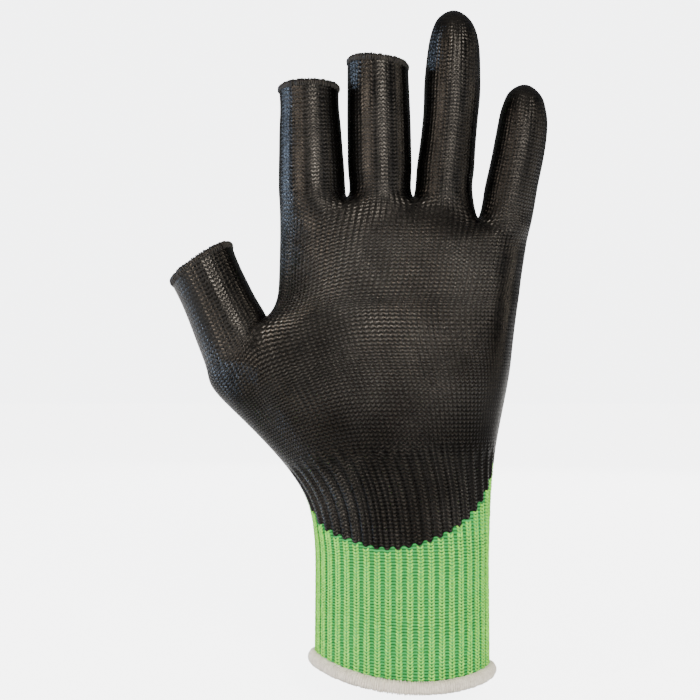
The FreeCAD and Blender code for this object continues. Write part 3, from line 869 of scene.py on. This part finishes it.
def gridPatch(columns, levels, closed, number=lambda around, level: around):
    around, level = (values.ravel() for values in np.meshgrid(columns, levels, indexing="ij"))
    points, normals = onCuff(around, level)
    rows, count, step = len(levels), len(columns), columns[1] - columns[0]
    faces, spots = [], []
    for n in range(count if closed else count - 1):
        m = (n + 1) % count
        for k in range(rows - 1):
            faces.append((n * rows + k, m * rows + k, m * rows + k + 1, n * rows + k + 1))
            spots.append([(number(columns[n] + step * i, levels[k + j]), levels[k + j] / hand["courseHeight"])
                          for i, j in ((0, 0), (1, 0), (1, 1), (0, 1))])
    return {"points": points, "normals": normals, "faces": faces, "stitches": spots,
            "around": around, "level": level}


ribColumns = cuff["ribs"] * cuff["samplesPerRib"]
ribStep = wales / ribColumns
topLevel = float(cuffLevels[-1])
ribRows = np.concatenate([np.arange(0, 80, 2), np.linspace(80, topLevel, 14)])
ribs = gridPatch(np.arange(ribColumns) * ribStep, ribRows, True)
relief = ribHeight(ribs["around"], ribs["level"])
wall = cuff["wall"] - (cuff["wall"] - hand["wall"]) * ease(60, topLevel, ribs["level"])


def reliefNormals(part, offset):  # the surface's own slope once the ribs stand on it
    mesh = addMesh("slope", part["points"] + part["normals"] * offset[:, None], part["faces"])
    mesh.update()
    slopes = np.array([v.normal for v in mesh.vertices])
    bpy.data.meshes.remove(mesh)
    return slopes


cuffLiner = shell("cuffRibLiner", ribs, relief, wall, ribGround, reliefNormals(ribs, relief))

# the tongue of coating on the front of the cuff
tongueStart, tongueEnd = cuff["tongue"][0][0], cuff["tongue"][-1][0]
columns = np.arange(math.floor(tongueStart / ribStep), math.ceil((tongueEnd + 1) / ribStep)) * ribStep
tongue = gridPatch(columns, np.linspace(50, topLevel, 44), False, ribStitch)
tooth = cuff["tooth"] * (ease(0.08, 0.42, fromFurrow(tongue["around"], tongue["level"])) - 0.5)
tongue["field"] = (tongue["points"][:, 2] - through(cuff["tongue"], tongue["around"]) + tooth) / 3
print("cuff formed")


# the pieces on their bodies, or baked in place where they span two

def stallPoint(spec, height):
    root, _, _, up = stallAxes(spec)
    return tuple((root + up * height) * mm)


wristBend = ("cuff", "palm", (0, 0, 0.054), (0, 0, 0.084))


def place(piece, bend, slot, nodes):
    if isinstance(bend, str):
        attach(piece, bend)
    else:
        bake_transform(piece)
    if nodes:
        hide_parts(*nodes)


coatSizes = {
    "thickness": 0.32,
    "sunk": 0.12,  # how far it reaches into the knit, and into the ribs
    "sunkInRibs": 0.45,
    "relief": 0.9,  # how much of the ribs shows through it
}
place(cuffLiner, wristBend, "cuff_knit", ["cuff_liner"])
offset = coatSizes["thickness"] + coatSizes["relief"] * ribHeight(tongue["around"], tongue["level"])
raised = dict(tongue, points=tongue["points"] + tongue["normals"] * offset[:, None],
              normals=reliefNormals(tongue, offset))
tongueCoat = shell("cuffTongueCoat", clip(raised, tongue["field"]), 0, coatSizes["sunkInRibs"], ribCoating)
place(tongueCoat, wristBend, "coat", ["cuff_coat"])

# columns of V stitches on the ribs, left out where the coating covers them
# the mouth's slope squeezes the lower levels together, so these stitches are set further apart
levels = np.concatenate([np.arange(2, 60, cuff["stitchPitch"] * 1.15),
                         np.arange(60.4, topLevel - 0.7, cuff["stitchPitch"])])
rib, level = (values.ravel() for values in np.meshgrid(np.arange(cuff["ribs"]), levels, indexing="ij"))
around = crestAt(rib, level)
spots, outward = onCuff(around, level)
upward = unit(onCuff(crestAt(rib, level + 0.5), level + 0.5)[0] - spots)
around = np.where(around > wales + tongueStart, around - wales, around)
tongueEdge = np.where(around < tongueEnd, through(cuff["tongue"], around), np.inf)
bare = spots[:, 2] < tongueEdge - 0.9
spots = spots + outward * (cuff["crest"] - 0.15)
ribStitches = scatter("cuffRibStitches", stitches, spots[bare], outward[bare], upward[bare], {
    "Leg Length": 1.8 * mm, "Leg Width": 0.78 * mm, "Leg Height": 0.95 * mm, "Leg Angle": math.radians(40),
    "Gauge": 1.2 * mm}, ribYarn)
place(ribStitches, wristBend, "cuff_knit", [])
print("rib stitches", int(bare.sum()), "with", len(ribStitches.data.polygons), "faces")

# the hem: a roll at the mouth with thread wound round it
hem = {"threads": 205, "sizes": {"Half Width": 1.9, "Half Height": 2.2, "Thread": 0.37}}


def loopFrame(path):  # outward and upward directions along a closed loop of points
    along = unit(np.roll(path, -1, 0) - np.roll(path, 1, 0))
    spokes = path - path.mean(0)
    normal = unit(np.cross(spokes, np.roll(spokes, -1, 0)).sum(0))
    out = unit(np.cross(along, normal))
    if np.sum(out * spokes) < 0:
        out = -out
    return out, unit(np.cross(out, along)) * np.sign(np.dot(np.cross(out[0], along[0]), normal))


def evenly(path, count):  # the same closed loop with evenly spaced points
    closed, length = np.vstack([path, path[:1]]), lengthsRound(path)
    at = np.arange(count) * length[-1] / count
    return np.stack([np.interp(at, length, closed[:, k]) for k in range(3)], 1)


def rolledHem(name, path, spec, tree, thread, upwards):
    path = evenly(path, spec["threads"])
    out, up = loopFrame(path)
    if np.dot(up.mean(0), upwards) < 0:
        up = -up
    core = [spec["sizes"][side] - 0.15 for side in ("Half Width", "Half Height")]
    roll = tube(name + "Core", path, out, up, *core, thread)
    sizes = {label: value * mm for label, value in spec["sizes"].items()}
    return roll, scatter(name + "Threads", tree, path, out, up, {**sizes, "Slant": 0.12}, thread)


mouth, outward = onCuff(np.arange(2 * wales) / 2, 0)
for piece in rolledHem("cuffHem", mouth + outward * 0.6, hem, neatThreads, hemThread, (0, 0, 1)):
    place(piece, "cuff", "hem_thread", ["cuff_hem"])

# covered elastic yarns laid into the cuff, that deep below its surface
laidIn = {"heights": (4, 19, 34, 48), "depth": 1.45, "radius": 0.28}
for height in laidIn["heights"]:
    path, _ = onCuff(np.arange(wales / 1.5) * 1.5, height)
    out, up = loopFrame(path)
    ring = tube(f"cuffElastic{height}", path - out * laidIn["depth"], out, up,
                laidIn["radius"], laidIn["radius"], elastic, 6)
    place(ring, "cuff", "elastic", ["cuff_elastic"])

# the palm, the thumb and the fingers


def fabric(name, bend, stems):  # the liner and the coating on it, which replace those CAD nodes
    part = patch(name)
    liner = shell(name + "Liner", part, 0, hand["wall"], jersey)
    place(liner, bend, "liner_knit", [stem + "_liner" for stem in stems])
    coat = shell(name + "Coat", clip(part, part["reach"]), coatSizes["thickness"], coatSizes["sunk"], coating)
    place(coat, bend, "coat", [stem + "_coat" for stem in stems if stem != "wrist_back_crease"])
    return part


fabric("palm", wristBend, ["palm", "wrist_front_crease", "wrist_back_crease"])
thumbBend = ("palm", "thumb_stall", *(stallPoint(thumb, height) for height in thumb["bend"]))
rims = {"thumb": fabric("thumb", thumbBend, ["thumb_stall", "thumb_root_crease"])}
for name, spec in stalls.items():
    body = "palm"
    ends = spec["folds"][1:]
    for fold, stretch, first, last in zip(foldNames, ("lower", "upper", "tip"), spec["folds"], ends):
        child = f"{name}_{stretch}"
        end = spec["lastFold"] if last == ends[-1] else spec["rings"][last][0]
        bend = (body, child, stallPoint(spec, spec["rings"][first][0]), stallPoint(spec, end))
        rims[name] = fabric(name + fold, bend, [child, f"{name}_{fold.lower()}_crease"])
        body = child
print("liner and coating made")

# overlocked edges of the three cut fingertips
tipHem = {"threads": 92, "sizes": {"Half Width": 0.8, "Half Height": 1.15, "Thread": 0.32}}
for name in ("thumb", "index", "middle"):
    part = rims[name]
    sides = dict.fromkeys((v, face[(n + 1) % len(face)])
                          for face in part["faces"] for n, v in enumerate(face))
    edge = {a: b for a, b in sides if (b, a) not in sides}
    root, _, _, up = stallAxes(stalls.get(name, thumb))
    top = max(edge, key=lambda v: np.dot(part["points"][v] - root, up))
    loop = [top]
    while edge[loop[-1]] != top:
        loop.append(edge[loop[-1]])
    path = part["points"][loop] - part["normals"][loop] * 0.35
    body = {"thumb": "thumb_stall"}.get(name, name + "_upper")
    for piece in rolledHem(name + "Hem", path, tipHem, roughThreads, tipThread, up):
        place(piece, body, "tip_thread", [name + "_hem"])
print("hems made")


# floor, lights and camera

# the floor is seen nearly as pale as the air; a second sheet just below it lights the glove
far = 3000
for name, height, glow in (("floor", -1.5, 5.9), ("floorLight", -2.5, 0.8)):
    corners = [(x, y, height) for x, y in ((-far, -far), (far, -far), (far, far), (-far, far))]
    paper = closeMaterial(openMaterial(name + "Paper")[0], "#e9e8e5", [], 0.9,
                          Emission_Color=linear("#f0f1f3"), Emission_Strength=glow)
    floor = addObject(name, addMesh(name, corners, [(0, 1, 2, 3)]), paper)
    floor.visible_camera = name == "floor"
    floor.visible_diffuse = floor.visible_glossy = floor.visible_shadow = name != "floor"

lights = {
    # name: place, aim, width, height, power, colour
    "key": ((0.22, -1.0, 0.5), (0, 0, 0.13), 0.16, 0.4, 10.5, "#fff1df"),
    "frontLeft": ((-0.74, -0.7, 0.25), (0, 0, 0.14), 0.07, 0.9, 8, "#ffe8cf"),
    "coolLeft": ((-0.97, 0.2, 0.2), (0, 0, 0.14), 0.07, 0.9, 9, "#bcd2f0"),
    "right": ((0.95, -0.15, 0.3), (0, 0, 0.13), 0.1, 0.8, 2.5, "#ffedd4"),
    "back": ((0.2, 0.9, 0.5), (0, 0, 0.13), 1.0, 0.8, 5, "#ffffff"),
}
for name, (spot, aim, width, height, power, tint) in lights.items():
    lamp = bpy.data.lights.new(name, "AREA")
    lamp.shape, lamp.size, lamp.size_y, lamp.energy = "RECTANGLE", width, height, power
    lamp.color = linear(tint)[:3]
    holder = addObject(name, lamp)
    holder.location = spot
    holder.rotation_euler = (Vector(aim) - Vector(spot)).to_track_quat("-Z", "Y").to_euler()
    holder.visible_glossy = name != "back"
ceiling = bpy.data.lights.new("ceiling", "SUN")  # an even soft light from above
ceiling.energy, ceiling.angle = 0.8, math.radians(70)
ceiling.color = linear("#fff0dc")[:3]
addObject("ceiling", ceiling).rotation_euler = (math.radians(28), 0, 0)
world = bpy.data.worlds.new("studio")
world.use_nodes = True
tree = world.node_tree
# the backdrop is seen brighter than it lights, as a white sheet far behind would be
seen = addNode(tree, "ShaderNodeLightPath")
power = addNode(tree, "ShaderNodeMapRange", [seen.outputs["Is Camera Ray"], 0.0, 1.0, 0.18, 6.0])
tree.nodes["Background"].inputs[0].default_value = linear("#f0f1f3")
tree.links.new(power.outputs[0], tree.nodes["Background"].inputs[1])
bpy.context.scene.world = world

camera = addObject("camera", bpy.data.cameras.new("camera"))
camera.location = (-0.0192, -0.55, 0.1261)
camera.rotation_euler = (math.pi / 2, 0, 0)
camera.data.lens, camera.data.sensor_width = 76.7, 36
bpy.context.scene.camera = camera
